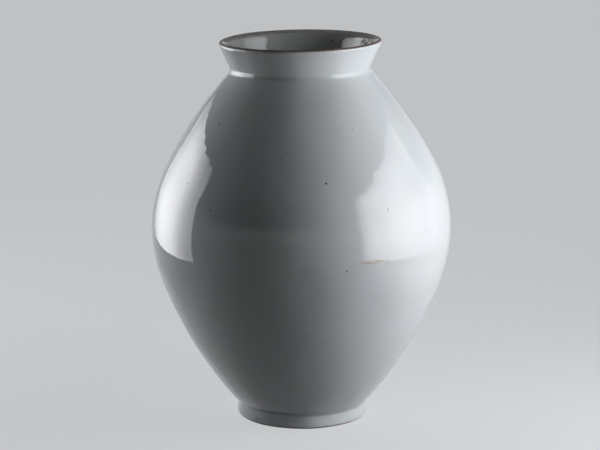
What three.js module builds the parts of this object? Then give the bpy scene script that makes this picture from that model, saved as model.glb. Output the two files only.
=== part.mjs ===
// A white porcelain storage jar: two thrown bowls luted rim to rim, with a luted foot ring and a
// flared collar, glazed inside and out. Millimetres, +Z up, X to the right and Y away from the front.
// The origin is on the wheel's axis, in the plane that the foot rests on.
import * as THREE from 'three';

// Heights of the finished sections, stacked from the table up
const FOOT_HEIGHT = 13.6;
const LOWER_BOWL_HEIGHT = 182.6;
const UPPER_BOWL_HEIGHT = 174.4;
const COLLAR_HEIGHT = 30.6;
const BELLY_RISE = 6.9; // the widest girth lies this far above the seam of the two bowls

// Radii of the finished, glazed outside
const FOOT_RADIUS = 70;
const FOOT_WAIST_RADIUS = 68.4;
const BELLY_RADIUS = 157.7;
const NECK_RADIUS = 72.3;
const LIP_RADIUS = 84.7;

// Curve of the belly, and how far up and down the side it runs before the flatter arcs take over
const BELLY_CURVE = 151.4;
const FLANK_TURN_DEG = 18.3;
const SHOULDER_TURN_DEG = 27.8;

// Clay
const WALL = 8;
const FLOOR = 11.5;
const FOOT_WIDTH = 11;
const FOOT_CHAMFER = 0.9;
const NECK_WALL = 3.4; // the collar is thinnest at its foot
const LIP_WIDTH = 10.5;
const LIP_ROUND = 1.4; // rounding of the lip's outer edge
const INNER_LIP_ROUND = 3.5; // and of its inner edge
const LIP_FALL = 1.6; // the inner edge of the lip lies this much lower than the outer edge
const MOUTH_TILT_DEG = 1; // the collar has sagged, its left side is the lower one

// Slip between two sections, and the tongue that keys the two bowls together
const SLIP = 0.8;
const TONGUE_DEPTH = 3;

// Glaze coats: their thickness, how they thin out at an edge, and the gap that keeps them off the clay
const GLAZE = 0.8;
const GLAZE_EDGE = 0.2;
const GLAZE_FIT = 0.1;
const GLAZE_HEM = 0.4; // bare height of the foot's sides, above their chamfers
const LIP_BARE = 0.8; // bare line along the crest of the lip
const FOOT_POOL = 1.6; // reach of the glaze that has run together above the foot
const NECK_POOL = 4; // and in the corner under the collar

const SEGMENTS = 40;
const WALL_STEPS = 6;
const FLOOR_STEPS = 5;
const LIP_STEPS = 3;
const POOL_STEPS = 3;

// Levels and depths that follow from the dimensions. A depth is measured square to the finished outside.
const seamLevel = FOOT_HEIGHT + LOWER_BOWL_HEIGHT;
const neckLevel = seamLevel + UPPER_BOWL_HEIGHT;
const jarHeight = neckLevel + COLLAR_HEIGHT;
const bellyLevel = seamLevel + BELLY_RISE;
const clayOutside = GLAZE + GLAZE_FIT;
const clayInside = clayOutside + WALL;
const coatInside = clayInside + GLAZE_FIT;
const freeInside = coatInside + GLAZE;
const flankTurn = THREE.MathUtils.degToRad(FLANK_TURN_DEG);
const shoulderTurn = THREE.MathUtils.degToRad(SHOULDER_TURN_DEG);

const at = (radius, level) => new THREE.Vector2(radius, level);

// The outside of the body is three arcs that share their tangents. The middle one is the belly.
const belly = { centre: at(BELLY_RADIUS - BELLY_CURVE, bellyLevel), radius: BELLY_CURVE };

// The arc that carries on from the belly at an angle, in the same direction, and ends in a given point
function arcOnFromBelly(angle, end) {
  const outward = at(Math.cos(angle), Math.sin(angle));
  const start = belly.centre.clone().addScaledVector(outward, belly.radius);
  const chord = start.clone().sub(end);
  const radius = chord.lengthSq() / (2 * chord.dot(outward));
  return { centre: start.addScaledVector(outward, -radius), radius };
}
const flank = arcOnFromBelly(-flankTurn, at(FOOT_WAIST_RADIUS, FOOT_HEIGHT));
const shoulder = arcOnFromBelly(shoulderTurn, at(NECK_RADIUS, neckLevel));

// Radius of the body at a level, a given depth under the finished outside
function bodyRadius(level, depth) {
  const bellyReach = belly.radius - depth;
  const bellyLow = bellyLevel - bellyReach * Math.sin(flankTurn);
  const bellyHigh = bellyLevel + bellyReach * Math.sin(shoulderTurn);
  const upper = level > bellyHigh ? shoulder : belly;
  const arc = level < bellyLow ? flank : upper;
  const reach = arc.radius - depth;
  return arc.centre.x + Math.sign(reach) * Math.sqrt(reach ** 2 - (level - arc.centre.y) ** 2);
}

// Points of a body wall between two levels, at one depth
function bodyWall(from, to, depth) {
  const points = [];
  for (let step = 0; step <= WALL_STEPS; step += 1) {
    const level = THREE.MathUtils.lerp(from, to, step / WALL_STEPS);
    points.push(at(bodyRadius(level, depth), level));
  }
  return points;
}

// Points along an arc. Its radius may change evenly on the way, for a coat that thins out.
function bend(centre, fromRadius, toRadius, fromAngle, toAngle, steps) {
  const points = [];
  for (let step = 0; step <= steps; step += 1) {
    const angle = THREE.MathUtils.lerp(fromAngle, toAngle, step / steps);
    const radius = THREE.MathUtils.lerp(fromRadius, toRadius, step / steps);
    points.push(at(centre.x + radius * Math.cos(angle), centre.y + radius * Math.sin(angle)));
  }
  return points;
}

// The inside of the floor is a dish centred on the axis, tangent to the inside of the flank
const floorLevel = FOOT_HEIGHT + FLOOR;
const flankInside = flank.radius - clayInside;
const flankRise = flank.centre.y - floorLevel;
const dishSquares = flankInside ** 2 - flank.centre.x ** 2 - flankRise ** 2;
const dishRadius = dishSquares / (2 * (flankInside - flankRise));
const dishCentre = at(0, floorLevel + dishRadius);
const dishAngle = Math.atan2(dishCentre.y - flank.centre.y, -flank.centre.x);

// Points of the inside from the axis up to a level, following the dish and then the wall
function insideUpTo(level, depth) {
  const radius = dishRadius - (depth - clayInside);
  const dish = bend(dishCentre, radius, radius, -Math.PI / 2, dishAngle, FLOOR_STEPS);
  dish[0].x = 0;
  return [...dish, ...bodyWall(dish[FLOOR_STEPS].y, level, depth).slice(1)];
}

// The throat runs straight down from the collar's foot until it meets the inside of the shoulder
function throatRadius(depth) {
  return bodyRadius(neckLevel, clayOutside) - NECK_WALL - (depth - clayInside);
}
function throatFoot(depth) {
  const reach = shoulder.radius - depth;
  const across = throatRadius(depth) - shoulder.centre.x;
  return shoulder.centre.y + Math.sign(reach) * Math.sqrt(reach ** 2 - across ** 2);
}

// The lip is rounded about two centres, one for each of its edges. Its sloping top touches both roundings.
const outerReach = LIP_ROUND + clayOutside;
const innerReach = INNER_LIP_ROUND + clayOutside;
const outerEdge = at(LIP_RADIUS - outerReach, jarHeight - outerReach);
const innerEdge = at(LIP_RADIUS - LIP_WIDTH + innerReach, jarHeight - LIP_FALL - innerReach);
const lipAcross = outerEdge.clone().sub(innerEdge);
const lipTopAngle = lipAcross.angle() + Math.acos((INNER_LIP_ROUND - LIP_ROUND) / lipAcross.length());
const crestAngle = Math.PI / 2;
const crestGap = LIP_BARE / 2 / LIP_ROUND;

// Direction in which a straight side from a point of the neck meets a rounded lip edge, square to the side
function lipTangent(from, centre, radius, side) {
  const way = centre.clone().sub(from);
  return way.angle() - side * (Math.asin(radius / way.length()) + Math.PI / 2);
}

// The collar's outer and inner sides, from the neck up to a given direction on the lip
function collarOutside(depth, endRadius, endAngle) {
  const foot = at(bodyRadius(neckLevel, depth), neckLevel);
  const radius = outerReach - depth;
  const start = lipTangent(foot, outerEdge, radius, 1);
  return [foot, ...bend(outerEdge, radius, endRadius, start, endAngle, LIP_STEPS)];
}
function collarInside(depth) {
  const foot = at(throatRadius(depth), neckLevel);
  const radius = INNER_LIP_ROUND + depth - clayInside;
  const start = lipTangent(foot, innerEdge, radius, -1);
  return [foot, ...bend(innerEdge, radius, radius, start, lipTopAngle, LIP_STEPS)];
}

// Glaze that has run together in a corner: a curve from one side to the other, past the corner point
function pool(from, corner, to) {
  return new THREE.QuadraticBezierCurve(from, corner, to).getPoints(POOL_STEPS);
}

// The foot ring
const footTop = FOOT_HEIGHT - SLIP;
const footInner = FOOT_RADIUS - FOOT_WIDTH;
const hemLevel = FOOT_CHAMFER + GLAZE_HEM;
function footSide(level, depth) {
  const top = bodyRadius(FOOT_HEIGHT, depth);
  return at(THREE.MathUtils.lerp(FOOT_RADIUS - depth, top, level / FOOT_HEIGHT), level);
}
const footRing = [
  at(footInner + FOOT_CHAMFER, 0),
  at(FOOT_RADIUS - clayOutside - FOOT_CHAMFER, 0),
  footSide(FOOT_CHAMFER, clayOutside),
  footSide(footTop, clayOutside),
  at(footInner, footTop),
  at(footInner, FOOT_CHAMFER),
];
const footSlip = [
  at(footInner, footTop),
  footSide(footTop, clayOutside),
  footSide(FOOT_HEIGHT, clayOutside),
  at(footInner, FOOT_HEIGHT),
];

// The two bowls, keyed at the seam by a tongue a third of the wall wide, with slip on all its sides
const lowerRim = seamLevel - SLIP / 2;
const upperRim = seamLevel + SLIP / 2;
const neckSeat = neckLevel - SLIP;
const wallMiddle = (bodyRadius(seamLevel, clayOutside) + bodyRadius(seamLevel, clayInside)) / 2;
const tongueHalf = WALL / 6;
const grooveHalf = tongueHalf + SLIP;
const groove = [
  at(wallMiddle + grooveHalf, lowerRim),
  at(wallMiddle + grooveHalf, lowerRim - TONGUE_DEPTH),
  at(wallMiddle - grooveHalf, lowerRim - TONGUE_DEPTH),
  at(wallMiddle - grooveHalf, lowerRim),
];
const tongue = [
  at(wallMiddle - tongueHalf, upperRim),
  at(wallMiddle - tongueHalf, upperRim - TONGUE_DEPTH),
  at(wallMiddle + tongueHalf, upperRim - TONGUE_DEPTH),
  at(wallMiddle + tongueHalf, upperRim),
];
const lowerBowl = [
  at(0, FOOT_HEIGHT),
  ...bodyWall(FOOT_HEIGHT, lowerRim, clayOutside),
  ...groove,
  ...insideUpTo(lowerRim, clayInside).reverse(),
];
const bellySlip = [
  at(bodyRadius(lowerRim, clayOutside), lowerRim),
  at(bodyRadius(upperRim, clayOutside), upperRim),
  ...tongue.toReversed(),
  at(bodyRadius(upperRim, clayInside), upperRim),
  at(bodyRadius(lowerRim, clayInside), lowerRim),
  ...groove.toReversed(),
];
const upperBowl = [
  ...bodyWall(upperRim, neckSeat, clayOutside),
  at(throatRadius(clayInside), neckSeat),
  ...bodyWall(throatFoot(clayInside), upperRim, clayInside),
  ...tongue,
];

// The collar on its slip
const neckSlip = [
  at(bodyRadius(neckSeat, clayOutside), neckSeat),
  at(bodyRadius(neckLevel, clayOutside), neckLevel),
  at(throatRadius(clayInside), neckLevel),
  at(throatRadius(clayInside), neckSeat),
];
const neckCollar = [
  ...collarOutside(clayOutside, LIP_ROUND, lipTopAngle),
  ...collarInside(clayInside).reverse(),
];

// The glaze on the outside, from the hem on the foot to the crest of the lip, and back along the clay
const coatReach = LIP_ROUND + GLAZE_FIT;
const outerEnd = crestAngle - crestGap;
const footCorner = footSide(FOOT_HEIGHT, 0);
const footPoolTop = FOOT_HEIGHT + FOOT_POOL;
const neckPoolFoot = neckLevel - NECK_POOL;
const finishedCollar = collarOutside(0, coatReach + GLAZE_EDGE, outerEnd);
const neckCorner = finishedCollar[0];
const neckPoolTop = neckCorner.clone().lerp(finishedCollar[1], NECK_POOL / COLLAR_HEIGHT);
const outerGlaze = [
  footSide(hemLevel, GLAZE - GLAZE_EDGE),
  footSide(hemLevel + GLAZE, 0),
  ...pool(
    footSide(FOOT_HEIGHT - FOOT_POOL, 0),
    footCorner,
    at(bodyRadius(footPoolTop, 0), footPoolTop),
  ),
  ...bodyWall(FOOT_HEIGHT, lowerRim, 0).slice(1),
  ...bodyWall(upperRim, neckSeat, 0).slice(0, -1),
  ...pool(at(bodyRadius(neckPoolFoot, 0), neckPoolFoot), neckCorner, neckPoolTop),
  ...finishedCollar.slice(1),
  ...collarOutside(GLAZE, coatReach, outerEnd).reverse(),
  ...bodyWall(neckSeat, upperRim, GLAZE),
  ...bodyWall(lowerRim, FOOT_HEIGHT, GLAZE),
  footSide(hemLevel, GLAZE),
];

// The glaze on the inside, from the crest of the lip down to the middle of the floor, and back
// along the clay
function lipToFloor(depth, endRadius) {
  const radius = LIP_ROUND + depth - clayInside;
  return [
    ...bend(outerEdge, endRadius, radius, crestAngle + crestGap, lipTopAngle, 1),
    ...collarInside(depth).reverse(),
    ...bodyWall(throatFoot(depth), upperRim, depth),
    ...insideUpTo(lowerRim, depth).reverse(),
  ];
}
const innerGlaze = [
  ...lipToFloor(coatInside, coatReach).reverse(),
  ...lipToFloor(freeInside, coatReach + GLAZE_EDGE),
];

// The glaze in the foot well, on the underside of the bowl and down the inner side of the ring
const wellSide = footInner - GLAZE_FIT;
const wellTop = FOOT_HEIGHT - GLAZE_FIT;
const wellGlaze = [
  at(0, wellTop - GLAZE),
  at(wellSide - GLAZE, wellTop - GLAZE),
  at(wellSide - GLAZE, hemLevel + GLAZE),
  at(wellSide - GLAZE_EDGE, hemLevel),
  at(wellSide, hemLevel),
  at(wellSide, wellTop),
  at(0, wellTop),
];

// The sag of the collar: above the neck every level tips over, more and more towards the lip
function sagMouth(geometry) {
  const position = geometry.getAttribute('position');
  const slope = Math.tan(THREE.MathUtils.degToRad(MOUTH_TILT_DEG));
  for (let index = 0; index < position.count; index += 1) {
    const level = position.getZ(index);
    const share = Math.max(0, level - neckLevel) / COLLAR_HEIGHT;
    position.setZ(index, level + position.getX(index) * slope * share);
  }
}

// One thrown piece: its outline, listed up the outside and down the inside, spun about the axis.
// An outline that touches the axis starts and ends there, and any other one closes on its first point.
function thrown(name, outline, material) {
  const closed = outline[0].x === 0 ? outline : [...outline, outline[0]];
  const geometry = new THREE.LatheGeometry(closed, SEGMENTS);
  geometry.rotateX(Math.PI / 2);
  sagMouth(geometry);
  const mesh = new THREE.Mesh(geometry, material);
  mesh.name = name;
  return mesh;
}

function ceramic(name, color, roughness) {
  return new THREE.MeshStandardMaterial({ name, color, roughness, metalness: 0 });
}
const outerCoat = ceramic('outer_glaze', 0xdce1e2, 0.12);
const innerCoat = ceramic('inner_glaze', 0xd3d8d8, 0.16);
const body = ceramic('porcelain_body', 0xcdbfae, 0.7);
const lutingSlip = ceramic('luting_slip', 0xd8d2c6, 0.8);

const jar = new THREE.Group();
jar.name = 'porcelain_jar';
jar.add(
  thrown('foot_ring', footRing, body),
  thrown('foot_slip', footSlip, lutingSlip),
  thrown('lower_bowl', lowerBowl, body),
  thrown('belly_slip', bellySlip, lutingSlip),
  thrown('upper_bowl', upperBowl, body),
  thrown('neck_slip', neckSlip, lutingSlip),
  thrown('neck_collar', neckCollar, body),
  thrown('outer_glaze', outerGlaze, outerCoat),
  thrown('inner_glaze', innerGlaze, innerCoat),
  thrown('foot_well_glaze', wellGlaze, outerCoat),
);

export default jar;
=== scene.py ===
# %% [markdown]
# # A white porcelain jar
#
# The jar is a form of revolution: a potter throws two bowls on a wheel, lutes them rim to rim with slip,
# adds a foot ring and a flared collar, and covers everything but the resting edge with a clear glaze.
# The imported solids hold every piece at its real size, but with few facets. This lesson reads the outline
# of each solid, spins it again on a finer wheel made of Geometry Nodes, and gives the clay and the glaze
# their surfaces.

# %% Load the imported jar
import math

import bpy
import numpy as np
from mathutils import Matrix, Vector


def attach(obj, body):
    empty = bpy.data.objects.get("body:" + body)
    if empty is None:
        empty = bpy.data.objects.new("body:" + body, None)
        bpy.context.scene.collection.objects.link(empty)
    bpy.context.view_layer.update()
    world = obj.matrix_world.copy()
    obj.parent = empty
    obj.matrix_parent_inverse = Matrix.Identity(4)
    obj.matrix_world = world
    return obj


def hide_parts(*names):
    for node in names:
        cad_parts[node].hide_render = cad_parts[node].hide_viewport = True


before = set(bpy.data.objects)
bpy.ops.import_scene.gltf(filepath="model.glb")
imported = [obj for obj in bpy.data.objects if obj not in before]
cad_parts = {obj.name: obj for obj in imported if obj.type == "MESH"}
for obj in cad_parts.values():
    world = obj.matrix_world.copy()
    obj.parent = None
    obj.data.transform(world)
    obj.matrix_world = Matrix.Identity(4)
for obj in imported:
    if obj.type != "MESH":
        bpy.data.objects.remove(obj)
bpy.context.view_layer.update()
MM = 0.001
CM3 = 1e-6
PER_SQUARE_CM = 1e4
print("pieces in the frame:", ", ".join(sorted(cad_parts)))

# %% [markdown]
# Three small helpers serve every step. Colours are written as sRGB hex values, as a colour picker shows
# them, and turned to the linear values that shaders use. One function adds a node of any kind, with its
# settings and its links. Another one turns the size of a pattern in millimetres into a texture scale.


# %% Helpers for colours and nodes
def linear(hex_colour):
    """An sRGB hex colour as linear RGBA."""
    values = [int(hex_colour[i:i + 2], 16) / 255 for i in (1, 3, 5)]
    return [v / 12.92 if v <= 0.04045 else ((v + 0.055) / 1.055) ** 2.4 for v in values] + [1.0]


def add(tree, kind, settings=None, *in_order, **named):
    """Adds a node and fills its sockets, in order or by name, with values, outputs or whole nodes."""
    node = tree.nodes.new(kind)
    for name, value in (settings or {}).items():
        setattr(node, name, value)
    usable = [socket for socket in node.inputs if socket.enabled]
    filled = list(zip(usable, in_order))
    for name, value in named.items():
        filled.append((next(s for s in usable if s.name == name.replace("_", " ")), value))
    for socket, value in filled:
        if isinstance(value, bpy.types.Node):
            value = next(output for output in value.outputs if output.enabled)
        if isinstance(value, bpy.types.NodeSocket):
            tree.links.new(value, socket)
        else:
            socket.default_value = value
    return node


def every(size_mm):
    """The scale of a texture whose pattern is about this many millimetres across."""
    return 1 / (size_mm * MM)


MATH = "ShaderNodeMath"
VECTOR_MATH = "ShaderNodeVectorMath"
SPLIT = "ShaderNodeSeparateXYZ"
JOIN = "ShaderNodeCombineXYZ"
NOISE = "ShaderNodeTexNoise"
RANGE = "ShaderNodeMapRange"
MIX = "ShaderNodeMix"
PLUS = {"operation": "ADD"}
MINUS = {"operation": "SUBTRACT"}
TIMES = {"operation": "MULTIPLY"}
OVER = {"operation": "DIVIDE"}
TIMES_PLUS = {"operation": "MULTIPLY_ADD"}
LARGER = {"operation": "MAXIMUM"}
DOT = {"operation": "DOT_PRODUCT"}
DISTANCE = {"operation": "DISTANCE"}
SMOOTH = {"interpolation_type": "SMOOTHSTEP"}
BLEND = {"data_type": "RGBA"}
NUMBER = {"data_type": "FLOAT"}
# A noise swings about its middle, and most of it lies within its span
NOISE_MIDDLE = 0.5
NOISE_SPAN = (0.3, 0.7)

# %% [markdown]
# ## The camera
#
# The picture was taken with a long lens, a little from above. The foot and the lip show as two ellipses of
# known size, and together with the outline they give the distance and the tilt. A long lens keeps the
# sides of the jar almost parallel.

# %% Place the camera
IMAGE_SIZE_PX = (600, 450)
FOCAL_PX = 2090.1
SENSOR_MM = 36
CAMERA_TILT_DEG = 12.68
CAMERA_PLACE_MM = (-1.5, -2158.8, 689.4)

camera_data = bpy.data.cameras.new("camera")
camera_data.sensor_width = SENSOR_MM
camera_data.lens = FOCAL_PX * SENSOR_MM / IMAGE_SIZE_PX[0]
camera = bpy.data.objects.new("camera", camera_data)
camera.location = [v * MM for v in CAMERA_PLACE_MM]
camera.rotation_euler = (math.radians(90 - CAMERA_TILT_DEG), 0, 0)
bpy.context.scene.collection.objects.link(camera)
bpy.context.scene.camera = camera
print(f"lens {camera_data.lens:.1f} mm")

# %% [markdown]
# ## The studio
#
# Two softboxes stand on the floor, one on each side of the jar. Their edges show in the glaze, which is how
# their places were found: a reflected edge gives a direction, and the lower edges meet the floor. The rear
# end of the right one is turned a little away from the jar.
#
# Each softbox is two lamps. One shows in the gloss alone and the other lights the form alone, so that the
# sharp highlights and the soft shading can each follow the picture. The panels fade towards their edges. In
# the gloss the rear ends fade most, which keeps the sides of the jar from washing out. The upper rear part
# of the right panel glows more than those fades leave, so a third lamp in the gloss adds that.

# %% Softboxes
DAYLIGHT = "#f9f9fd"
# Along a panel, X runs from the rear end of the left one and from the front end of the right one. Y runs up.
LEFT_FADES = (
    # axis, two places along it, the glow at the first and at the second
    ("X", 0.1, 0.78, 0.2, 1.0),
    ("X", 0.7, 1.0, 1.0, 0.4),
    ("Y", 0.0, 0.4, 0.75, 1.0),
    ("Y", 0.8, 1.0, 1.0, 0.65),
)
LEFT_FORM_FADES = (
    ("X", 0.0, 0.65, 0.2, 1.0),
    ("X", 0.73, 1.0, 1.0, 0.45),
    ("Y", 0.0, 0.15, 0.0, 1.0),
    ("Y", 0.85, 1.0, 1.0, 0.1),
)
RIGHT_FADES = (
    ("X", 0.0, 0.15, 0.45, 1.0),
    ("X", 0.36, 0.83, 1.0, 0.1),
    ("Y", 0.0, 0.27, 0.65, 1.0),
    ("Y", 0.85, 1.0, 1.0, 0.6),
)
SPOT_FADES = (
    ("X", 0.0, 0.6, 0.0, 1.0),
    ("Y", 0.0, 0.35, 0.0, 1.0),
    ("Y", 0.6, 1.0, 1.0, 0.7),
)
RIGHT_FORM_FADES = (
    ("X", 0.0, 0.2, 0.0, 1.0),
    ("X", 0.8, 1.0, 1.0, 0.2),
    ("Y", 0.0, 0.12, 0.6, 1.0),
    ("Y", 0.84, 1.0, 1.0, 0.1),
)
SOFTBOXES = (
    # lamp, what it serves, middle of its lower edge and size in mm, turn in degrees, radiance, fades
    ("left_in_gloss", "gloss", (-640, 405, 0), (1000, 596), -90, 6.6, LEFT_FADES),
    ("left_on_form", "form", (-642, 405, 0), (1000, 620), -90, 1.1, LEFT_FORM_FADES),
    ("right_in_gloss", "gloss", (664, -155, 0), (1078, 700), 83.2, 4.9, RIGHT_FADES),
    ("right_spot_in_gloss", "gloss", (683, 24, 470), (576, 230), 83.2, 1.0, SPOT_FADES),
    ("right_on_form", "form", (602, -190, 0), (500, 750), 90, 5.4, RIGHT_FORM_FADES),
)


def softbox(name, serves, foot_mm, size_mm, turn_deg, radiance, fades):
    """An upright panel. Its power follows from its area and from its radiance where nothing fades it."""
    lamp = bpy.data.lights.new(name, "AREA")
    lamp.shape = "RECTANGLE"
    lamp.size, lamp.size_y = (v * MM for v in size_mm)
    lamp.energy = radiance * math.pi * lamp.size * lamp.size_y
    lamp.use_nodes = True
    tree = lamp.node_tree
    tree.nodes.clear()
    panel = add(tree, "ShaderNodeNewGeometry").outputs["Parametric"]
    along = add(tree, SPLIT, None, panel).outputs
    glow = 1.0
    for axis, *fade in fades:
        glow = add(tree, MATH, TIMES, glow, add(tree, RANGE, SMOOTH, along[axis], *fade))
    shine = add(tree, "ShaderNodeEmission", None, linear(DAYLIGHT), glow)
    add(tree, "ShaderNodeOutputLight", Surface=shine)
    holder = bpy.data.objects.new(name, lamp)
    x, y, bottom = foot_mm
    holder.location = [v * MM for v in (x, y, bottom + size_mm[1] / 2)]
    holder.rotation_euler = (math.radians(90), 0, math.radians(turn_deg))
    holder.visible_camera = False
    holder.visible_glossy = serves == "gloss"
    holder.visible_diffuse = serves == "form"
    bpy.context.scene.collection.objects.link(holder)
    print(f"{name}: {lamp.energy:.2f} W")


for entry in SOFTBOXES:
    softbox(*entry)

# %% [markdown]
# The room shows in two ways. To the camera and in the gloss it is pale, with a darker ceiling. To the clay
# under the glaze it gives only a weak fill, and the light of a wall low behind the jar on the left, which
# brightens the back and the left edge. The floor likewise looks pale and keeps the shadow of the jar, but
# throws little light back up, so that the softboxes model the form.

# %% World and floor
PALE = "#c9cbcd"
FILL = 0.06
# Strength of the wall, the way to it, how near to that way it brightens, and the rise at which it ends
REAR_WALL = 8.0
REAR_HEADING = (-0.57, 0.82, 0.0)
REAR_SPREAD = (0.6, 0.9)
REAR_TOP = (0.1, 0.35)
# Strength of the ceiling, and the rise over which the room darkens to it
CEILING = 0.25
CEILING_RISE = (0.04, 0.25)
# Glow of the floor, the share of its look that the lamps light, and the share of light that it bounces
FLOOR_GLOW = 0.86
FLOOR_LIT = 0.35
FLOOR_BOUNCE = 0.08
FLOOR_REACH = 8.0


def seen_directly(tree):
    """1 for camera, glossy and transmission rays, 0 for the diffuse light that reaches the jar."""
    path = add(tree, "ShaderNodeLightPath").outputs
    first = add(tree, MATH, LARGER, path["Is Camera Ray"], path["Is Glossy Ray"])
    return add(tree, MATH, LARGER, first, path["Is Transmission Ray"])


def pale_room(world):
    """Fills a world with the pale room that shows and the weaker light that it gives off."""
    world.use_nodes = True
    tree = world.node_tree
    tree.nodes.clear()
    heading = add(tree, "ShaderNodeTexCoord").outputs["Generated"]
    upward = add(tree, SPLIT, None, heading).outputs["Z"]
    rearward = add(tree, VECTOR_MATH, DOT, heading, REAR_HEADING).outputs["Value"]
    behind = add(tree, RANGE, SMOOTH, rearward, *REAR_SPREAD, 0.0, REAR_WALL)
    low = add(tree, RANGE, SMOOTH, upward, *REAR_TOP, 1.0, 0.0)
    given_off = add(tree, MATH, TIMES_PLUS, behind, low, FILL)
    shown = add(tree, RANGE, SMOOTH, upward, *CEILING_RISE, 1.0, CEILING)
    strength = add(tree, RANGE, None, seen_directly(tree), To_Min=given_off, To_Max=shown)
    backdrop = add(tree, "ShaderNodeBackground", None, linear(PALE), strength)
    add(tree, "ShaderNodeOutputWorld", Surface=backdrop)


def pale_paper(material):
    """Fills a material with plain paper that mostly glows, takes shadows and bounces little light."""
    material.use_nodes = True
    tree = material.node_tree
    tree.nodes.clear()
    lit = add(tree, "ShaderNodeBsdfDiffuse", Color=linear(PALE))
    glow = add(tree, "ShaderNodeEmission", None, linear(PALE), FLOOR_GLOW / (1 - FLOOR_LIT))
    shown = add(tree, "ShaderNodeMixShader", None, FLOOR_LIT, glow, lit)
    bounce = add(tree, "ShaderNodeBsdfDiffuse", Color=[FLOOR_BOUNCE] * 3 + [1])
    either = add(tree, "ShaderNodeMixShader", None, seen_directly(tree), bounce, shown)
    add(tree, "ShaderNodeOutputMaterial", Surface=either)


studio = bpy.data.worlds.new("studio")
pale_room(studio)
bpy.context.scene.world = studio

# Even and pale, so that the eye goes to the jar and its shadow
paper = bpy.data.materials.new("pale paper")
pale_paper(paper)
floor_mesh = bpy.data.meshes.new("floor")
floor_corners = [(x * FLOOR_REACH, y * FLOOR_REACH, 0) for x, y in ((-1, -1), (1, -1), (1, 1), (-1, 1))]
floor_mesh.from_pydata(floor_corners, [], [(0, 1, 2, 3)])
floor_mesh.materials.append(paper)
floor = bpy.data.objects.new("floor", floor_mesh)
bpy.context.scene.collection.objects.link(floor)
bpy.context.scene.view_settings.view_transform = "Standard"
print(f"the world has {len(studio.node_tree.nodes)} nodes, the floor is {2 * FLOOR_REACH:.0f} m across")

# %% [markdown]
# ## Reading the outlines
#
# Every solid was spun from an outline, and the points of that outline still lie in the plane x = 0, on the
# front side. The edges between them are enough to put them back in order. They are then turned so that an
# outline runs up the outside and down the inside.

# %% Find the outline of a piece
ON_PLANE = 1e-6
DIGITS = 7


def outline_of(node):
    """The ordered (radius, height) points of a piece's outline, and whether it closes on itself."""
    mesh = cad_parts[node].data
    places = [tuple(round(c, DIGITS) for c in v.co) for v in mesh.vertices]
    links = {}
    for edge in mesh.edges:
        a, b = (places[i] for i in edge.vertices)
        if a != b and all(abs(p[0]) < ON_PLANE and p[1] < ON_PLANE for p in (a, b)):
            links.setdefault(a, set()).add(b)
            links.setdefault(b, set()).add(a)
    ends = [p for p, near in links.items() if len(near) == 1]
    path = [min(ends, key=lambda p: p[2]) if ends else min(links)]
    while True:
        onward = sorted(p for p in links[path[-1]] if p not in path)
        if not onward:
            break
        path.append(onward[0])
    points = np.array([(-p[1], p[2]) for p in path])
    r, z = points.T
    area = np.sum(r * np.roll(z, -1) - z * np.roll(r, -1))
    return (points if area > 0 else points[::-1]), not ends


outlines = {node: outline_of(node) for node in sorted(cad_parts)}
for node, (points, closed) in outlines.items():
    print(f"{node}: {len(points)} points, {'closed' if closed else 'from axis to axis'}")

# %% [markdown]
# The few points of an outline lie on arcs and straight sides. Three neighbours give the circle through
# them, and so the direction of the outline in each point. Where a long side meets a short one, the long
# side sets the direction, and a turn of more than 45 degrees is a real corner.

# %% Find the direction of an outline in its points
CORNER_DEG = 45
LONG_TO_SHORT = 3


def unit(vector):
    """The vector at length 1."""
    return vector / np.linalg.norm(vector)


def through(a, b, c):
    """Direction in b of the circle through three points."""
    return unit((b - a) / np.sum((b - a) ** 2) + (c - b) / np.sum((c - b) ** 2))


def leaving(run):
    """Direction in the first point of a run, from the points that follow it."""
    side = unit(run[1] - run[0])
    if len(run) < 3:
        return side
    first, second = (np.linalg.norm(run[i + 1] - run[i]) for i in (0, 1))
    if max(first, second) > LONG_TO_SHORT * min(first, second):
        return side
    middle = through(*run[:3])
    return 2 * middle.dot(side) * side - middle


def directions(run):
    """The outline's direction in each point of a run without corners."""
    found = [leaving(run)]
    for i in range(1, len(run) - 1):
        before, after = (np.linalg.norm(run[i] - run[j]) for j in (i - 1, i + 1))
        if after > LONG_TO_SHORT * before:
            found.append(leaving(run[i:]))
        elif before > LONG_TO_SHORT * after:
            found.append(-leaving(run[i::-1]))
        else:
            found.append(through(*run[i - 1:i + 2]))
    found.append(-leaving(run[::-1]))
    for i in (0, -1):
        if run[i][0] == 0:
            found[i] = np.array((np.sign(found[i][0]), 0.0))
    return found


def runs_between_corners(points, closed):
    """The outline cut at its corners, each run an array of points."""
    ring = np.vstack((points[-1:], points, points[:1])) if closed else points
    steps = np.diff(ring, axis=0)
    heading = np.degrees(np.arctan2(steps[:, 1], steps[:, 0]))
    bends = np.abs((np.diff(heading) + 180) % 360 - 180)
    corners = np.flatnonzero(bends > CORNER_DEG)
    if closed:
        points = np.roll(points, -corners[0], axis=0)
        points = np.vstack((points, points[:1]))
        cuts = [*(corners - corners[0]), len(points) - 1]
    else:
        cuts = [0, *(corners + 1), len(points) - 1]
    return [points[a:b + 1] for a, b in zip(cuts, cuts[1:])]


for node, outline in outlines.items():
    print(f"{node}: {len(runs_between_corners(*outline))} runs between corners")

# %% [markdown]
# Cubic curves with those directions bring the round form back. The side that shows gets close rows, the
# side that lies against another piece gets fewer, and a row close beside each corner keeps it crisp.

# %% Round an outline again
CRISP = 0.15 * MM
SHOWN_ROW = 2.0 * MM
HIDDEN_ROW = 6.0 * MM
# The fewest rows between two points, by whether their side shows
LEAST_ROWS = {True: 4, False: 2}


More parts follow.
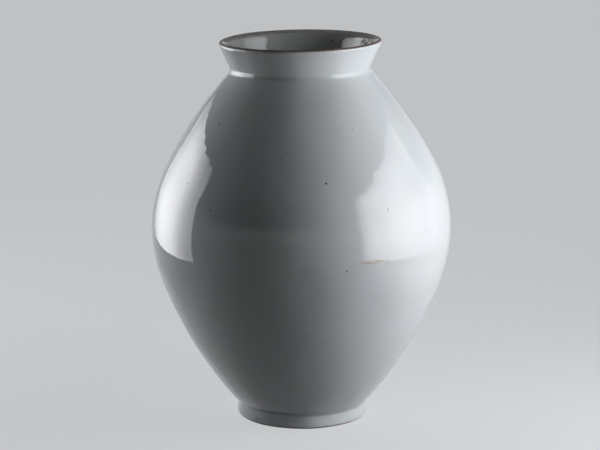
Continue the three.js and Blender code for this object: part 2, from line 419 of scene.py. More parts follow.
def fine_rows(points, closed, shown_side):
    """Rows of the finished outline: radius, height, direction, and 1 on the side that shows."""
    rows = []
    for run in runs_between_corners(points, closed):
        ways = directions(run)
        for i, (a, b) in enumerate(zip(run, run[1:])):
            length = np.linalg.norm(b - a)
            shows = shown_side == "all" or (b[1] > a[1]) == (shown_side == "rising")
            steps = max(LEAST_ROWS[shows], math.ceil(length / (SHOWN_ROW if shows else HIDDEN_ROW)))
            share = list(np.linspace(0, 1, steps + 1)[:-1])
            if i == 0 and length / steps > 2 * CRISP:
                share.insert(1, CRISP / length)
            if i == len(run) - 2 and length / steps > 2 * CRISP:
                share.append(1 - CRISP / length)
            for t in share:
                place = ((1 + 2 * t) * (1 - t) ** 2 * a + t * t * (3 - 2 * t) * b
                         + length * (t * (1 - t) ** 2 * ways[i] + t * t * (t - 1) * ways[i + 1]))
                slope = (6 * t * (1 - t) * (b - a) / length
                         + (1 - t) * (1 - 3 * t) * ways[i] + t * (3 * t - 2) * ways[i + 1])
                rows.append((*place, *unit(slope), shows))
        end = run[-1]
    rows.append((*end, *ways[-1], shows))
    return np.array(rows)


print(f"outer_glaze: {len(fine_rows(*outlines['outer_glaze'], 'rising'))} rows")

# %% [markdown]
# ## The potter's hand
#
# A jar of this size is never quite true. It leans to the left by two millimetres and bulges to the right
# above the joint of the two bowls, the mouth has sagged to the left in the kiln, and the wall carries faint
# spiral ridges from the fingers. All that moves the clay and its glaze together, so it is worked out once,
# for every row of every outline.
#
# A row also carries how far it gives way to the unevenness of the wall, how near it lies to the hem of the
# glaze at the foot, the direction in which a ridge stands out, and the depth of the glaze. That is the
# distance to the side that lies on the clay. On the flat of the lip that depth is halved, which lets the
# clay
# show through as a grey cast: painted shade on the top of the lip.

# %% Work out what each row carries
LEAN_FROM, LEAN_TO = 0.8 * MM, -1.4 * MM
BULGE = 1.4 * MM
BULGE_HEIGHT = 273 * MM
BULGE_REACH = 32 * MM
SAG_START = 290 * MM
FIRM_RADIUS = 30 * MM
HEM_REACH = 9 * MM
LIP_FROM = 390 * MM
# Slopes of the outline between which the lip counts as flat
LIP_FLAT = (0.2, 0.6)
# Share by which the coat on the flat of the lip is thinned, so that its grey cast paints shade on the lip's
# top
LIP_SHADE_THINNING = 0.5

collar = [v.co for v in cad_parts["neck_collar"].data.vertices]
right_top = max(collar, key=lambda p: p.z + p.x)
left_top = max(collar, key=lambda p: p.z - p.x)
sag_slope = (right_top.z - left_top.z) / (right_top.x - left_top.x)
jar_height = (right_top.z + left_top.z) / 2
print(f"the lip slopes by {math.degrees(math.atan(sag_slope)):.2f} degrees, {jar_height / MM:.1f} mm up")


def distance_to(places, line):
    """Distance of each place to the nearest side of a line of points."""
    best = np.full(len(places), np.inf)
    for a, b in zip(line, line[1:]):
        side = b - a
        share = np.clip((places - a) @ side / (side @ side), 0, 1)
        best = np.minimum(best, np.linalg.norm(places - a - share[:, None] * side, axis=1))
    return best


def outline_mesh(name, rows, ridges, ridge_pitch_mm):
    """A line of points with what each row carries, for the wheel to spin."""
    place, way, shows = rows[:, :2], rows[:, 2:4], rows[:, 4] > 0
    r, z = place.T
    length = np.cumsum(np.linalg.norm(np.diff(place, axis=0, prepend=place[:1]), axis=1))
    lean = LEAN_FROM + (LEAN_TO - LEAN_FROM) * z / jar_height
    rise = np.clip((z - SAG_START) / (jar_height - SAG_START), 0, 1)
    lip_flat_shade = np.clip((-way[:, 0] - LIP_FLAT[0]) / (LIP_FLAT[1] - LIP_FLAT[0]), 0, 1) * (z > LIP_FROM)
    ridge_heights, ridge_sizes = np.transpose(ridges)
    hidden = place[~shows]
    carried = {
        "sway": lean + BULGE * np.exp(-((z - BULGE_HEIGHT) / BULGE_REACH) ** 2 / 2),
        "sag": sag_slope * rise ** 2 * (3 - 2 * rise),
        "give": np.clip(r / FIRM_RADIUS, 0, 1),
        "hem": np.clip(1 - z / HEM_REACH, 0, 1),
        "ridge": shows * np.interp(z / MM, ridge_heights, ridge_sizes) * MM,
        "phase": 2 * np.pi * length / (ridge_pitch_mm * MM),
        "normal_r": way[:, 1],
        "normal_z": -way[:, 0],
        "glaze_depth": distance_to(place, hidden) / MM if len(hidden) > 1 else np.zeros(len(z)),
    }
    # The flat of the lip gets a thinner coat, whose grey cast is painted shade
    carried["glaze_depth"] *= 1 - LIP_SHADE_THINNING * lip_flat_shade
    mesh = bpy.data.meshes.new(name)
    mesh.from_pydata([(x, 0, h) for x, h in place], [(i, i + 1) for i in range(len(place) - 1)], [])
    for key, values in carried.items():
        mesh.attributes.new(key, "FLOAT", "POINT").data.foreach_set("value", values.astype(np.float32))
    return mesh


# %% [markdown]
# ## The wheel
#
# A Screw or Spin modifier would turn an outline too, but it can't sag or sway on the way round. So the
# wheel is a Geometry Nodes tree: a grid with one row for each point of the outline and one column for each
# step round the axis. Each grid point looks up its row, turns by its column and takes on what the row
# carries. Merging the first and last column, and the points on the axis, closes the form.

# %% Build the wheel: a grid that looks up its rows
CARRIED = ("sway", "sag", "give", "hem", "ridge", "phase", "normal_r", "normal_z", "glaze_depth")
INTEGER = "FunctionNodeIntegerMath"
LOOK_UP = "GeometryNodeSampleIndex"
AT_POINT = {"data_type": "FLOAT", "domain": "POINT"}
PLACE_AT_POINT = {"data_type": "FLOAT_VECTOR", "domain": "POINT"}

wheel = bpy.data.node_groups.new("potters_wheel", "GeometryNodeTree")
wheel.interface.new_socket("Outline", in_out="INPUT", socket_type="NodeSocketGeometry")
for name, kind in (("Columns", "Int"), ("Uneven", "Float"), ("Ripple", "Float"),
                   ("Hem", "Float"), ("Finish", "Material")):
    wheel.interface.new_socket(name, in_out="INPUT", socket_type="NodeSocket" + kind)
wheel.interface.new_socket("Piece", in_out="OUTPUT", socket_type="NodeSocketGeometry")

wheel_input = add(wheel, "NodeGroupInput").outputs
row_count = add(wheel, "GeometryNodeAttributeDomainSize", None, wheel_input["Outline"])
around = add(wheel, INTEGER, PLUS, wheel_input["Columns"], 1)
grid = add(wheel, "GeometryNodeMeshGrid", Vertices_X=row_count, Vertices_Y=around)
index = add(wheel, "GeometryNodeInputIndex")
row = add(wheel, INTEGER, OVER, index, around)
column = add(wheel, INTEGER, {"operation": "MODULO"}, index, around)
angle = add(wheel, MATH, TIMES, add(wheel, MATH, OVER, column, wheel_input["Columns"]), 2 * math.pi)

looked_up = {}
for name in CARRIED:
    field = add(wheel, "GeometryNodeInputNamedAttribute", NUMBER, name)
    looked_up[name] = add(wheel, LOOK_UP, AT_POINT, wheel_input["Outline"], field, row)
position = add(wheel, "GeometryNodeInputPosition")
on_outline = add(wheel, LOOK_UP, PLACE_AT_POINT, wheel_input["Outline"], position, row)
outline_radius, _, outline_height = add(wheel, SPLIT, None, on_outline).outputs
print(f"the wheel looks up {len(looked_up)} values for each row")

# %% [markdown]
# The unevenness of the wall is read from noise on a plain cylinder, so that every piece moves alike at the
# same height and side of the jar. A broad noise swells the wall, a finer one, drawn out along the turn,
# ripples it, and a third one wavers the hem of the glaze. The ridges run round as a spiral.

# %% Build the wheel: the potter's hand
NOISE_RADIUS = 150 * MM
UNEVEN_SIZE_MM = 75
RIPPLE_SIZE_MM = 20
RIPPLE_DRAWN_OUT = (0.4, 0.4, 1.0)
HEM_SIZE_MM = 14
ABOUT_AXIS = {"rotation_type": "Z_AXIS"}

flat_spot = add(wheel, JOIN, None, 0.0, -NOISE_RADIUS, outline_height)
wall_spot = add(wheel, "ShaderNodeVectorRotate", ABOUT_AXIS, flat_spot, Angle=angle)
drawn_out = add(wheel, VECTOR_MATH, TIMES, wall_spot, RIPPLE_DRAWN_OUT)
swell = add(wheel, NOISE, None, wall_spot, Scale=every(UNEVEN_SIZE_MM), Detail=1.0)
ripple = add(wheel, NOISE, None, drawn_out, Scale=every(RIPPLE_SIZE_MM), Detail=2.0)
waver = add(wheel, NOISE, None, wall_spot, Scale=every(HEM_SIZE_MM), Detail=2.0)
swollen = add(wheel, MATH, TIMES, add(wheel, MATH, MINUS, swell, NOISE_MIDDLE), wheel_input["Uneven"])
rippled = add(wheel, MATH, TIMES, add(wheel, MATH, MINUS, ripple, NOISE_MIDDLE), wheel_input["Ripple"])
moved_out = add(wheel, MATH, TIMES, add(wheel, MATH, PLUS, swollen, rippled), looked_up["give"])
spiral = add(wheel, MATH, {"operation": "SINE"}, add(wheel, MATH, PLUS, looked_up["phase"], angle))
ridge = add(wheel, MATH, TIMES, add(wheel, MATH, TIMES, spiral, looked_up["ridge"]), swell)
ridge_out = add(wheel, MATH, TIMES, ridge, looked_up["normal_r"])
ridge_up = add(wheel, MATH, TIMES, ridge, looked_up["normal_z"])
hem_share = add(wheel, MATH, TIMES, looked_up["hem"], wheel_input["Hem"])
hem_rise = add(wheel, MATH, TIMES, add(wheel, MATH, MINUS, waver, NOISE_MIDDLE), hem_share)
print(f"the wheel has {len(wheel.nodes)} nodes so far")

# %% Build the wheel: spin the form and close it
MERGE = 0.004 * MM

spun_radius = add(wheel, MATH, PLUS, add(wheel, MATH, PLUS, outline_radius, moved_out), ridge_out)
spun_height = add(wheel, MATH, PLUS, add(wheel, MATH, PLUS, outline_height, hem_rise), ridge_up)
front = add(wheel, JOIN, None, 0.0, add(wheel, MATH, TIMES, spun_radius, -1.0), spun_height)
turned_round = add(wheel, "ShaderNodeVectorRotate", ABOUT_AXIS, front, Angle=angle)
sagged = add(wheel, MATH, TIMES, add(wheel, SPLIT, None, turned_round), looked_up["sag"])
shift = add(wheel, JOIN, None, looked_up["sway"], 0.0, sagged)
settled = add(wheel, VECTOR_MATH, PLUS, turned_round, shift)

glazed = add(wheel, "GeometryNodeStoreNamedAttribute", AT_POINT, grid, Name="glaze_depth",
             Value=looked_up["glaze_depth"])
spun = add(wheel, "GeometryNodeSetPosition", None, glazed, Position=settled)
merged = add(wheel, "GeometryNodeMergeByDistance", None, spun, Distance=MERGE)
outward = add(wheel, "GeometryNodeFlipFaces", None, merged)
smooth = add(wheel, "GeometryNodeSetShadeSmooth", None, outward)
plain_form = add(wheel, "GeometryNodeRealizeInstances", None, smooth)
finished_form = add(wheel, "GeometryNodeSetMaterial", None, plain_form, Material=wheel_input["Finish"])
add(wheel, "NodeGroupOutput", None, finished_form)
print(f"the finished wheel has {len(wheel.nodes)} nodes")

# %% [markdown]
# ## Spinning the pieces
#
# Each piece is spun from its own outline, so clay, slip and glaze stay nested as they are in the solids.
# What lies under the glaze gets fewer columns. Outside, the throwing ridges were smoothed with a rib and
# only just show. Inside, the fingers left rings half a millimetre high, which fade towards the mouth.

# %% Spin every piece
UNEVEN = 2.6 * MM
RIPPLE = 0.25 * MM
HEM_WAVER = 0.7 * MM
# Height on the jar and size of a ridge there, both in mm
OUTER_RIDGES_MM = ((0, 0), (14, 0), (30, 0.09), (90, 0.06), (220, 0.03), (340, 0.025), (366, 0))
INNER_RIDGES_MM = ((0, 0.5), (250, 0.7), (330, 0.35), (366, 0.05), (400, 0))
WELL_RIDGES_MM = ((0, 0.25), (400, 0.25))
NO_RIDGES_MM = ((0, 0), (400, 0))
SHOWING_COLUMNS = 224
HIDDEN_COLUMNS = 128

# Warm, matt and fine-grained where it shows, along the edge of the foot
clay = bpy.data.materials.new("bare fired porcelain")
# Dull and a little paler than the clay, hidden in the joints
slip = bpy.data.materials.new("fired slip")
# Cool white glass with sharp reflections, faint clouds and a few dark specks
outer_glaze = bpy.data.materials.new("clear glaze outside")
# The same glass in a greyer white, painted shade that gives the mouth its depth
inner_glaze = bpy.data.materials.new("clear glaze inside with painted shade")

PIECES = (
    # piece, node, finish, side that shows, columns, ridges, their pitch in mm
    ("foot_ring_clay", "foot_ring", clay, "all", SHOWING_COLUMNS, NO_RIDGES_MM, 10),
    ("foot_slip_ring", "foot_slip", slip, "none", HIDDEN_COLUMNS, NO_RIDGES_MM, 10),
    ("lower_bowl_clay", "lower_bowl", clay, "none", HIDDEN_COLUMNS, NO_RIDGES_MM, 10),
    ("belly_slip_ring", "belly_slip", slip, "none", HIDDEN_COLUMNS, NO_RIDGES_MM, 10),
    ("upper_bowl_clay", "upper_bowl", clay, "none", HIDDEN_COLUMNS, NO_RIDGES_MM, 10),
    ("neck_slip_ring", "neck_slip", slip, "none", HIDDEN_COLUMNS, NO_RIDGES_MM, 10),
    ("neck_collar_clay", "neck_collar", clay, "all", SHOWING_COLUMNS, NO_RIDGES_MM, 10),
    ("outer_glaze_coat", "outer_glaze", outer_glaze, "rising", SHOWING_COLUMNS, OUTER_RIDGES_MM, 11),
    ("inner_glaze_coat", "inner_glaze", inner_glaze, "falling", SHOWING_COLUMNS, INNER_RIDGES_MM, 16),
    ("foot_well_glaze_coat", "foot_well_glaze", outer_glaze, "falling", SHOWING_COLUMNS, WELL_RIDGES_MM, 7),
)


def signed_volume(mesh):
    """Volume inside the faces, above zero where they point outwards."""
    mesh.calc_loop_triangles()
    places = np.empty(3 * len(mesh.vertices))
    mesh.vertices.foreach_get("co", places)
    triangles = np.empty(3 * len(mesh.loop_triangles), dtype=int)
    mesh.loop_triangles.foreach_get("vertices", triangles)
    a, b, c = places.reshape(-1, 3)[triangles.reshape(-1, 3)].transpose(1, 0, 2)
    return np.sum(a * np.cross(b, c)) / 6


def made_by(tree, name, start, settings):
    """A piece with the plain mesh that a tree makes from a starting mesh, which is then removed."""
    piece = bpy.data.objects.new(name, start)
    bpy.context.scene.collection.objects.link(piece)
    maker = piece.modifiers.new(tree.name, "NODES")
    maker.node_group = tree
    for label, value in settings.items():
        maker[tree.interface.items_tree[label].identifier] = value
    depsgraph = bpy.context.evaluated_depsgraph_get()
    plain = bpy.data.meshes.new_from_object(piece.evaluated_get(depsgraph), preserve_all_data_layers=True,
                                            depsgraph=depsgraph)
    piece.modifiers.remove(maker)
    piece.data = plain
    plain.name = name
    bpy.data.meshes.remove(start)
    return piece


def spin(name, node, finish, shown_side, columns, ridges, pitch_mm):
    """Spins a node's outline into the finished piece that stands for it."""
    outline = outline_mesh(name, fine_rows(*outlines[node], shown_side), ridges, pitch_mm)
    hem = HEM_WAVER if "glaze" in node else 0.0
    settings = {"Columns": columns, "Uneven": UNEVEN, "Ripple": RIPPLE, "Hem": hem, "Finish": finish}
    piece = made_by(wheel, name, outline, settings)
    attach(piece, "root")
    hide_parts(node)
    print(f"{name}: {len(piece.data.polygons)} faces, {signed_volume(piece.data) / CM3:.1f} cm3")
    return piece


pieces = {entry[0]: spin(*entry) for entry in PIECES}

# %% [markdown]
# ## Where the marks lie
#
# The jar has a few iron specks, a tan stain along the joint of the two bowls and a small rusty run above
# it. Each was found in the picture, and a ray from the camera through its pixel finds the place on the
# glaze.

# %% Find the marks on the glaze
IRON_SPECKS_PX = (
    # pixel, radius in mm, how dark it is
    ((326.2, 183.6), 1.2, 1.0), ((346.9, 271.7), 1.15, 0.75), ((219.3, 124.6), 1.2, 0.65),
    ((210.2, 210.3), 1.2, 0.7), ((280.8, 159.1), 0.9, 0.5), ((352.7, 129.5), 0.75, 0.55),
    ((188.5, 174.1), 0.7, 0.4), ((188.0, 183.3), 0.9, 0.5), ((387.2, 259.3), 0.8, 0.35),
    ((388.6, 263.4), 0.8, 0.35), ((336.6, 110.0), 0.6, 0.3), ((340.2, 108.4), 0.6, 0.25),
    ((342.0, 126.4), 0.6, 0.25), ((340.6, 118.0), 0.5, 0.2),
)
INNER_SPECKS_PX = (((331.4, 40.9), 1.2, 0.85),)
RUST_TONE = "#a2a385"
STAIN_TONES = ("#d6c8b8", "#d3c9b2")
STREAKS_PX = (
    # left and right end, half the height in mm, tone
    ((358.5, 263.2), (378.0, 262.8), 1.5, STAIN_TONES[0]),
    ((374.0, 260.9), (385.5, 260.5), 1.2, STAIN_TONES[1]),
    ((387.2, 209.8), (388.9, 209.8), 2.2, RUST_TONE),
)


def seen_at(piece, pixel):
    """The point of a piece that the camera sees at a pixel."""
    across = (pixel[0] - IMAGE_SIZE_PX[0] / 2) / FOCAL_PX
    up = (IMAGE_SIZE_PX[1] / 2 - pixel[1]) / FOCAL_PX
    ray = camera.rotation_euler.to_matrix() @ Vector((across, up, -1))
    hit, place, _, _ = piece.ray_cast(camera.location, ray)
    assert hit, f"nothing of {piece.name} lies at {pixel}"
    return place


bpy.context.view_layer.update()
iron_specks = [(seen_at(pieces["outer_glaze_coat"], px), r, dark) for px, r, dark in IRON_SPECKS_PX]
inner_specks = [(seen_at(pieces["inner_glaze_coat"], px), r, dark) for px, r, dark in INNER_SPECKS_PX]
streaks = [([seen_at(pieces["outer_glaze_coat"], px) for px in ends], half_mm, tone)
           for *ends, half_mm, tone in STREAKS_PX]
for (left, right), _, _ in streaks:
    print(f"a streak {(right - left).length / MM:.1f} mm long lies {left.z / MM:.1f} mm above the floor")

# %% [markdown]
# ## The glaze
#
# The glaze is a clear lime glaze over white porcelain, fired hard and glossy. The wheel stored the depth of
# the coat in every point, so the colour follows the coat. Where it lies thick, in the corners at the neck
# and the foot, it looks blue-green. Where it thins out towards the lip, the brown of the clay comes through
# as a line along the crest. On the flat of the lip the stored depth was halved, and the grey cast that this
# gives is painted shade.

# %% Colour of the glaze from its depth
CLOUD_SIZES_MM = (130, 48, 11)
CLOUD_SHARES = (1.0, 0.8, 0.6)
CLOUD_SPAN = (0.38, 0.66)
POOLED_TONE = "#c2d0d0"
POOLED_MM = (0.85, 2.4)
POOLED_SHARE = 0.75
# Brown of the clay under a thin coat: a real line at the crest, and painted shade on the flat of the lip
THIN_COAT_AND_LIP_SHADE_TONE = "#786052"
# Depths, with the ragged part added, between which the clay goes out of sight
THIN_MM = (0.32, 0.72)
THIN_SHARE = 0.9
RAGGED_SIZE_MM = 4
RAGGED_MM = 0.35


def thin_share(tree, spot, depth):
    """How much of the clay shows through, with a ragged edge."""
    patches = add(tree, NOISE, None, spot, Scale=every(RAGGED_SIZE_MM), Detail=3.0)
    ragged = add(tree, MATH, TIMES_PLUS, patches, RAGGED_MM, depth)
    return add(tree, RANGE, SMOOTH, ragged, *THIN_MM, THIN_SHARE, 0.0)


def coat_colour(tree, spot, tones, depth, thin):
    """White with clouds of three tones, bluer where the coat is deep and brown where it is thin."""
    colour, *cloud_tones = (linear(tone) for tone in tones)
    for size_mm, tone, most in zip(CLOUD_SIZES_MM, cloud_tones, CLOUD_SHARES):
        cloud = add(tree, NOISE, None, spot, Scale=every(size_mm), Detail=3.0)
        share = add(tree, RANGE, SMOOTH, cloud, *CLOUD_SPAN, 0.0, most)
        colour = add(tree, MIX, BLEND, share, colour, tone)
    pooled = add(tree, RANGE, SMOOTH, depth, *POOLED_MM, 0.0, POOLED_SHARE)
    colour = add(tree, MIX, BLEND, pooled, colour, linear(POOLED_TONE))
    return add(tree, MIX, BLEND, thin, colour, linear(THIN_COAT_AND_LIP_SHADE_TONE))


# %% [markdown]
# The marks lie over that colour. Pinholes are strewn at random and few, while the specks and the streaks
# lie where the picture has them. A streak is an ellipsoid about the line between its ends, broken up by
# noise.

# %% Specks, pinholes and streaks
IRON_TONE = "#1d1b19"
PIT_SIZE_MM = 75
PIT_RADII_MM = (0.3, 0.7)
PIT_SHARE = 0.55
# Shares of a speck's radius between which it fades
SPECK_EDGE = (0.4, 1.3)
STREAK_DEPTH = 6 * MM
# Shares of a streak's reach between which it fades
STREAK_EDGE = (0.55, 1.1)
STREAK_SHARE = 0.9
BROKEN_SIZE_MM = 5


def dark_share(tree, spot, specks):
    """How dark the pinholes and the specks make a spot."""
    chance = add(tree, "ShaderNodeTexVoronoi", None, spot, Scale=every(PIT_SIZE_MM))
    pit_edge = [radius_mm / PIT_SIZE_MM for radius_mm in PIT_RADII_MM]
    dark = add(tree, RANGE, SMOOTH, chance, *pit_edge, PIT_SHARE, 0.0)
    for place, radius_mm, darkest in specks:
        away = add(tree, VECTOR_MATH, DISTANCE, spot, place).outputs["Value"]
        edge = [share * radius_mm * MM for share in SPECK_EDGE]
        dark = add(tree, MATH, LARGER, dark, add(tree, RANGE, SMOOTH, away, *edge, darkest, 0.0))
    return dark


def streaked(tree, spot, colour, streaks):
    """The colour with streaks laid over it."""
    broken = add(tree, NOISE, None, spot, Scale=every(BROKEN_SIZE_MM), Detail=2.0)
    for (left, right), half_mm, tone in streaks:
        middle = (left + right) / 2
        facing = (right - left).to_track_quat("X", "Z").to_euler()
        reach = ((right - left).length / 2, STREAK_DEPTH, half_mm * MM)
        local = add(tree, "ShaderNodeMapping", {"vector_type": "TEXTURE"}, spot, middle, facing, reach)
        away = add(tree, VECTOR_MATH, {"operation": "LENGTH"}, local).outputs["Value"]
        ragged = add(tree, MATH, PLUS, away, add(tree, MATH, MINUS, broken, NOISE_MIDDLE))
        share = add(tree, RANGE, SMOOTH, ragged, *STREAK_EDGE, STREAK_SHARE, 0.0)
        colour = add(tree, MIX, BLEND, share, colour, linear(tone))
    return colour


# %% [markdown]
# The surface is smooth glass with the slight waviness that it had when molten. Low on the jar the marks of
# the turning tool show through it as faint level lines. Where the coat is thin it is less glossy.

# %% Surface of the glaze
GLAZE_IOR = 1.52
GLOSS_SIZE_MM = 30
GLOSS_ROUGHNESS = (0.02, 0.05)
THIN_ROUGHNESS = 0.22
PEEL_SIZE_MM = 9
PEEL_DEPTH = 0.035 * MM
TURNING_SIZE_MM = 3.2
TURNING_REACH = (75 * MM, 20 * MM)
TURNING_DEPTH = 0.02 * MM
TURNING_WAVER = 1.5
# A wave texture of scale 1 repeats after this length
WAVE_PERIOD = math.pi / 10


def glaze_roughness(tree, spot, thin):
    """Almost mirror-smooth glass, rougher where the coat is thin."""
    patches = add(tree, NOISE, None, spot, Scale=every(GLOSS_SIZE_MM), Detail=3.0)
    polished = add(tree, RANGE, None, patches, *NOISE_SPAN, *GLOSS_ROUGHNESS)
    return add(tree, MIX, NUMBER, thin, polished, THIN_ROUGHNESS)


def glaze_relief(tree, spot):
    """The waviness of the glass, and level lines from the turning tool above the foot."""
    peel = add(tree, NOISE, None, spot, Scale=every(PEEL_SIZE_MM), Detail=2.0)
    waved = add(tree, "ShaderNodeBump", Strength=1.0, Distance=PEEL_DEPTH, Height=peel)
    lines = add(tree, "ShaderNodeTexWave", {"bands_direction": "Z"}, spot,
                Scale=WAVE_PERIOD * every(TURNING_SIZE_MM), Distortion=TURNING_WAVER)
    height = add(tree, SPLIT, None, spot).outputs["Z"]
    near_foot = add(tree, RANGE, SMOOTH, height, *TURNING_REACH, 0.0, 1.0)
    grooves = add(tree, MATH, TIMES, lines, near_foot)
    return add(tree, "ShaderNodeBump", Strength=1.0, Distance=TURNING_DEPTH, Height=grooves, Normal=waved)


# %% Glaze materials
# White first, then a blue, a green and a mottled tone for the clouds
OUTSIDE_TONES = ("#dfe3e5", "#d5dde2", "#d8dedc", "#dcdfdf")
# Inside, the same glass in greyer tones: painted shade in the mouth
INSIDE_SHADED_TONES = ("#bcbfbf", "#b4babc", "#b6bbb7", "#b9bab8")


def glaze_finish(material, tones, specks, streaks=()):
    """Fills a material with glaze in the given tones, with its specks and streaks."""
    material.use_nodes = True
    tree = material.node_tree
    tree.nodes.clear()
    spot = add(tree, "ShaderNodeTexCoord").outputs["Object"]
    depth = add(tree, "ShaderNodeAttribute", {"attribute_name": "glaze_depth"}).outputs["Fac"]
    thin = thin_share(tree, spot, depth)
    colour = coat_colour(tree, spot, tones, depth, thin)
    colour = add(tree, MIX, BLEND, dark_share(tree, spot, specks), colour, linear(IRON_TONE))
    if streaks:
        colour = streaked(tree, spot, colour, streaks)
    shader = add(tree, "ShaderNodeBsdfPrincipled", None, colour, IOR=GLAZE_IOR,
                 Roughness=glaze_roughness(tree, spot, thin), Normal=glaze_relief(tree, spot))
    add(tree, "ShaderNodeOutputMaterial", Surface=shader)
    print(f"{material.name}: {len(tree.nodes)} nodes")


glaze_finish(outer_glaze, OUTSIDE_TONES, iron_specks, streaks)
glaze_finish(inner_glaze, INSIDE_SHADED_TONES, inner_specks)

# %% [markdown]
# ## The clay
#
# Bare porcelain is matt and fine-grained. In the kiln it flushed orange-brown along the edge of the glaze,
# on the foot and on the lip. The resting face under the foot was ground and wiped, and stays pale.

# %% Clay and slip
# Pale tone, dull tone and flush
CLAY_TONES = ("#d3c5ae", "#bba88c", "#8a5a3a")
CLAY_FLUSH = 0.9
SLIP_TONES = ("#d8d0c0", "#cabfa9", "#c4ab90")
SLIP_FLUSH = 0.3
FLUSH_HEIGHT = (0.1 * MM, 1.4 * MM)
FLUSH_PATCHES = (0.6, 1.0)
PATCH_SIZE_MM = 14
GRAIN_SIZE_MM = 0.9
GRAIN_DEPTH = 0.05 * MM
CLAY_ROUGHNESS = (0.6, 0.85)


def clay_finish(material, tones, most):
    """Fills a material with bare clay: two mixed tones, and a flush that starts just above the floor."""
    pale, dull, flush = (linear(tone) for tone in tones)
    material.use_nodes = True
    tree = material.node_tree
    tree.nodes.clear()
    spot = add(tree, "ShaderNodeTexCoord").outputs["Object"]
    patches = add(tree, NOISE, None, spot, Scale=every(PATCH_SIZE_MM), Detail=4.0)
    grain = add(tree, NOISE, None, spot, Scale=every(GRAIN_SIZE_MM), Detail=3.0)
    colour = add(tree, MIX, BLEND, patches, pale, dull)
    height = add(tree, SPLIT, None, spot).outputs["Z"]
    above = add(tree, RANGE, SMOOTH, height, *FLUSH_HEIGHT, 0.0, most)
    patchy = add(tree, RANGE, None, patches, *NOISE_SPAN, *FLUSH_PATCHES)
    colour = add(tree, MIX, BLEND, add(tree, MATH, TIMES, above, patchy), colour, flush)
    roughness = add(tree, RANGE, None, grain, *NOISE_SPAN, *CLAY_ROUGHNESS)
    rough = add(tree, "ShaderNodeBump", Strength=1.0, Distance=GRAIN_DEPTH, Height=grain)
    shader = add(tree, "ShaderNodeBsdfPrincipled", None, colour, Roughness=roughness, Normal=rough)
    add(tree, "ShaderNodeOutputMaterial", Surface=shader)
    print(f"{material.name}: {len(tree.nodes)} nodes")


clay_finish(clay, CLAY_TONES, CLAY_FLUSH)
clay_finish(slip, SLIP_TONES, SLIP_FLUSH)

# %% [markdown]
# ## Kiln grit
#
# In two places grains of sand from the kiln stuck to the molten glaze: inside the lip on the right, and low
# on the foot at the front. A second tree scatters them on the coat, within reach of a point. A grain is a
# ball that noise makes lumpy, with a size, a turn and a tone of its own.

# %% Build the tree that scatters grit
RANDOM = "FunctionNodeRandomValue"
TONE_SEED = 1

scatter = bpy.data.node_groups.new("kiln_grit", "GeometryNodeTree")
scatter.interface.new_socket("Coat", in_out="INPUT", socket_type="NodeSocketGeometry")
for name, kind in (("Middle", "Vector"), ("Reach", "Float"), ("Density", "Float"), ("Seed", "Int"),
                   ("Smallest", "Float"), ("Largest", "Float"), ("Finish", "Material")):
    scatter.interface.new_socket(name, in_out="INPUT", socket_type="NodeSocket" + kind)
scatter.interface.new_socket("Grains", in_out="OUTPUT", socket_type="NodeSocketGeometry")

grit_input = add(scatter, "NodeGroupInput").outputs
grit_spot = add(scatter, "GeometryNodeInputPosition")
from_middle = add(scatter, VECTOR_MATH, DISTANCE, grit_spot, grit_input["Middle"]).outputs["Value"]
near = add(scatter, "FunctionNodeCompare", {"operation": "LESS_THAN"}, from_middle, grit_input["Reach"])
strewn = add(scatter, "GeometryNodeDistributePointsOnFaces", None, grit_input["Coat"], near,
             Density=grit_input["Density"], Seed=grit_input["Seed"])
ball = add(scatter, "GeometryNodeMeshIcoSphere", Radius=1.0, Subdivisions=2)
lumps = add(scatter, NOISE, None, grit_spot, Scale=1.0, Detail=1.0)
lumpy = add(scatter, VECTOR_MATH, {"operation": "SCALE"}, grit_spot,
            Scale=add(scatter, MATH, MINUS, lumps, NOISE_MIDDLE))
grain = add(scatter, "GeometryNodeSetPosition", None, ball, Offset=lumpy)
grain_size = add(scatter, RANDOM, NUMBER, grit_input["Smallest"], grit_input["Largest"])
grain_turn = add(scatter, RANDOM, {"data_type": "FLOAT_VECTOR"}, (0, 0, 0), [2 * math.pi] * 3)
grains = add(scatter, "GeometryNodeInstanceOnPoints", None, strewn, Instance=grain, Rotation=grain_turn,
             Scale=grain_size)
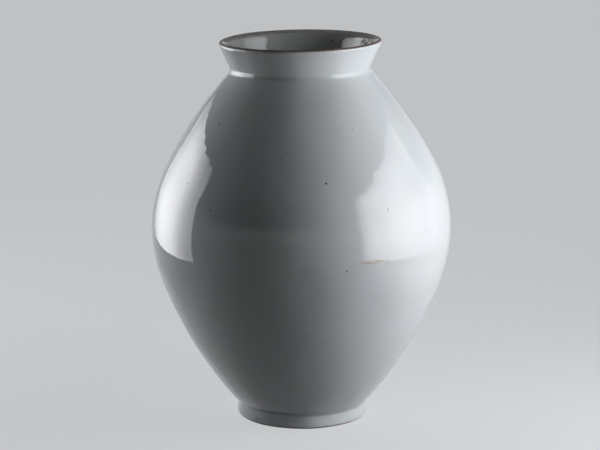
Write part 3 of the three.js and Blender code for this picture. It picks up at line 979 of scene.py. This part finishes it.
grain_tone = add(scatter, RANDOM, NUMBER, 0.0, 1.0, Seed=TONE_SEED)
toned = add(scatter, "GeometryNodeStoreNamedAttribute", {"data_type": "FLOAT", "domain": "INSTANCE"},
            grains, Name="grain_tone", Value=grain_tone)
plain_grains = add(scatter, "GeometryNodeRealizeInstances", None, toned)
sandy = add(scatter, "GeometryNodeSetMaterial", None, plain_grains, Material=grit_input["Finish"])
add(scatter, "NodeGroupOutput", None, sandy)
print(f"the grit tree has {len(scatter.nodes)} nodes")

# %% Scatter the grit
GRIT = (
    # piece, the coat that it sticks to, pixel in its middle, reach in mm, grains to the square centimetre
    ("lip_grit", "inner_glaze_coat", (363.0, 43.5), 5.5, 130),
    ("foot_grit", "outer_glaze_coat", (256.5, 420.5), 3.0, 90),
)
GRAIN_RADII = (0.15 * MM, 0.5 * MM)
GRAIN_TONES = ("#1f1c1a", "#d8d0c4")
SAND_ROUGHNESS = 0.7


def sand_finish(material):
    """Fills a material with matt sand, each grain in its own tone between dark and pale."""
    material.use_nodes = True
    tree = material.node_tree
    tree.nodes.clear()
    share = add(tree, "ShaderNodeAttribute", {"attribute_name": "grain_tone"}).outputs["Fac"]
    shade = add(tree, MIX, BLEND, share, *(linear(tone) for tone in GRAIN_TONES))
    shader = add(tree, "ShaderNodeBsdfPrincipled", None, shade, Roughness=SAND_ROUGHNESS)
    add(tree, "ShaderNodeOutputMaterial", Surface=shader)


# Dry dark and pale grains that break the gloss of the glaze
sand = bpy.data.materials.new("kiln sand")
sand_finish(sand)
for seed, (name, coat, pixel, reach_mm, per_square_cm) in enumerate(GRIT):
    settings = {
        "Middle": seen_at(pieces[coat], pixel),
        "Reach": reach_mm * MM,
        "Density": per_square_cm * PER_SQUARE_CM,
        "Seed": seed,
        "Smallest": GRAIN_RADII[0],
        "Largest": GRAIN_RADII[1],
        "Finish": sand,
    }
    grit = made_by(scatter, name, pieces[coat].data.copy(), settings)
    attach(grit, "root")
    print(f"{name}: {len(grit.data.polygons)} faces")
